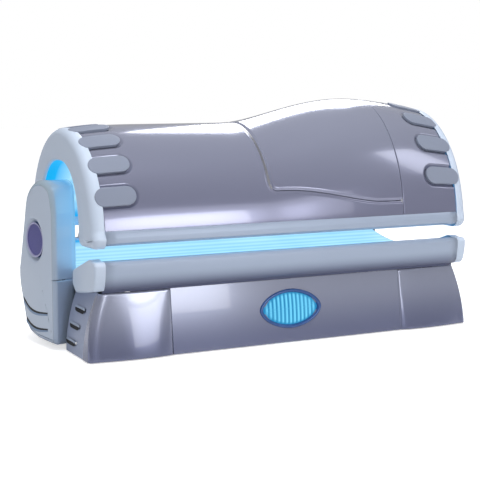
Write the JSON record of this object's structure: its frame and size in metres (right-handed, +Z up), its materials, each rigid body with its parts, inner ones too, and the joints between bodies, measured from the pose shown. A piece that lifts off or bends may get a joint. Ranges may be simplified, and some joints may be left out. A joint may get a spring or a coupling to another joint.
{
  "type": "tanning bed",
  "caption": "Clamshell tanning bed: long lit bench under a hinged arched canopy, with end rings, vent tabs, an almond lens in the base and a side blower pod.",
  "frame": {"origin": "on the floor, under the middle of the whole object's box", "axes": "+X along the bed towards the head end, +Y from the user's side to the hinged back, +Z up"},
  "size_m": [2.405, 1.05, 1.296],
  "materials": {
    "shell": "gloss metallic lacquer",
    "ring": "satin",
    "tabs": "satin",
    "rail": "satin anodised",
    "fascia": "gloss metallic lacquer",
    "side": "satin",
    "pod": "satin",
    "pod_trim": "gloss",
    "grille": "gloss",
    "bezel": "gloss",
    "lens": "translucent gloss",
    "acrylic": "clear gloss",
    "lining": "gloss",
    "lamp": "frosted",
    "filter": "polished",
    "reflector": "bright",
    "holder": "matte",
    "frame": "powder coat",
    "canopy_frame": "mill",
    "rear": "powder coat",
    "box": "powder coat",
    "fan": "matte",
    "steel": "brushed",
    "chromed": "polished",
    "black": "powder coat",
    "foot": "matte",
    "panel": "satin",
    "button": "satin"
  },
  "bodies": {
    "base": {"ballasts": "box", "base_frame": "frame", "bed_acrylic": "acrylic", "bed_end_cap_left": "ring", "bed_end_cap_right": "ring", "bed_front_rail": "rail", "bed_lamp_holders": "holder", "bed_lamps": "lamp", "bed_rear_rail": "rail", "bed_reflector": "reflector", "control_box": "box", "fan_housings": "fan", "foot_panel_left": "fascia", "foot_panel_right": "fascia", "front_fascia": "fascia", "hinge_brackets": "steel", "hinge_pins": "steel", "lens": "lens", "lens_bezel": "bezel", "lens_lamp": "lamp", "levelling_feet": "foot", "mains_gland": "panel", "pod_cover": "pod", "pod_cowl": "pod_trim", "pod_grille": "grille", "pod_grille_rim": "pod_trim", "rear_panel": "rear", "side_panel_left": "side", "side_panel_right": "side", "strut_foot_brackets": "steel"},
    "canopy": {"canopy_acrylic": "acrylic", "canopy_frame": "canopy_frame", "canopy_front_rail": "rail", "canopy_lamp_holders": "holder", "canopy_lamps": "lamp", "canopy_rear_rail": "rail", "canopy_reflector": "reflector", "control_panel": "panel", "end_linings": "lining", "end_ring_left": "ring", "end_ring_right": "ring", "face_filter": "filter", "face_lamp_housing": "canopy_frame", "face_lamps": "reflector", "hinge_arms": "steel", "shell_face_panel": "shell", "shell_foot_panel": "shell", "shell_head_panel": "shell", "strut_head_brackets": "steel", "vent_tabs": "tabs"},
    "pod_fan": {"pod_fan_rotor": "fan"},
    "base_fan_left": {"base_fan_rotor_left": "fan"},
    "base_fan_right": {"base_fan_rotor_right": "fan"},
    "strut_cylinder_left": {"strut_cylinder_left": "black"},
    "strut_cylinder_right": {"strut_cylinder_right": "black"},
    "strut_rod_left": {"strut_rod_left": "chromed"},
    "strut_rod_right": {"strut_rod_right": "chromed"},
    "start_button": {"start_button": "button"},
    "stop_button": {"stop_button": "button"},
    "fan_button": {"fan_button": "button"}
  },
  "joints": [
    {"name": "canopy_lift", "type": "hinge", "parent": "base", "child": "canopy", "pos_m": [0.0475, 0.447, 0.568], "axis": [-1, 0, 0], "range_deg": [0, 38], "stiffness_Nm_per_rad": 380, "springref_deg": 60.61},
    {"name": "strut_tilt_left", "type": "hinge", "parent": "base", "child": "strut_cylinder_left", "pos_m": [-1.0465, 0.42, 0.262], "axis": [-1, 0, 0], "range_deg": [0, 7.07]},
    {"name": "strut_slide_left", "type": "slide", "parent": "strut_cylinder_left", "child": "strut_rod_left", "axis": [0, -0.1442, 0.9895], "range_m": [0, 0.03755]},
    {"name": "strut_tilt_right", "type": "hinge", "parent": "base", "child": "strut_cylinder_right", "pos_m": [1.1415, 0.42, 0.262], "axis": [-1, 0, 0], "range_deg": [0, 7.07]},
    {"name": "strut_slide_right", "type": "slide", "parent": "strut_cylinder_right", "child": "strut_rod_right", "axis": [0, -0.1442, 0.9895], "range_m": [0, 0.03755]},
    {"name": "pod_fan_spin", "type": "hinge", "parent": "base", "child": "pod_fan", "pos_m": [-1.12921, 0.11645, 0.56], "axis": [-0.9816, -0.1908, 0], "continuous": true},
    {"name": "base_fan_spin_left", "type": "hinge", "parent": "base", "child": "base_fan_left", "pos_m": [-0.4725, 0.455, 0.18], "axis": [0, 1, 0], "continuous": true},
    {"name": "base_fan_spin_right", "type": "hinge", "parent": "base", "child": "base_fan_right", "pos_m": [0.5675, 0.455, 0.18], "axis": [0, 1, 0], "continuous": true},
    {"name": "start_press", "type": "slide", "parent": "canopy", "child": "start_button", "axis": [0, -1, 0], "range_m": [0, 0.0027], "stiffness_N_per_m": 400, "springref_m": -0.002},
    {"name": "stop_press", "type": "slide", "parent": "canopy", "child": "stop_button", "axis": [0, -1, 0], "range_m": [0, 0.0027], "stiffness_N_per_m": 400, "springref_m": -0.002},
    {"name": "fan_press", "type": "slide", "parent": "canopy", "child": "fan_button", "axis": [0, -1, 0], "range_m": [0, 0.0027], "stiffness_N_per_m": 400, "springref_m": -0.002}
  ],
  "couplings": [
    {"joint": "strut_tilt_left", "follows": "canopy_lift", "ratio": 0.18469},
    {"joint": "strut_slide_left", "follows": "canopy_lift", "m_per_rad": 0.056159},
    {"joint": "strut_tilt_right", "follows": "canopy_lift", "ratio": 0.18469},
    {"joint": "strut_slide_right", "follows": "canopy_lift", "m_per_rad": 0.056159}
  ]
}
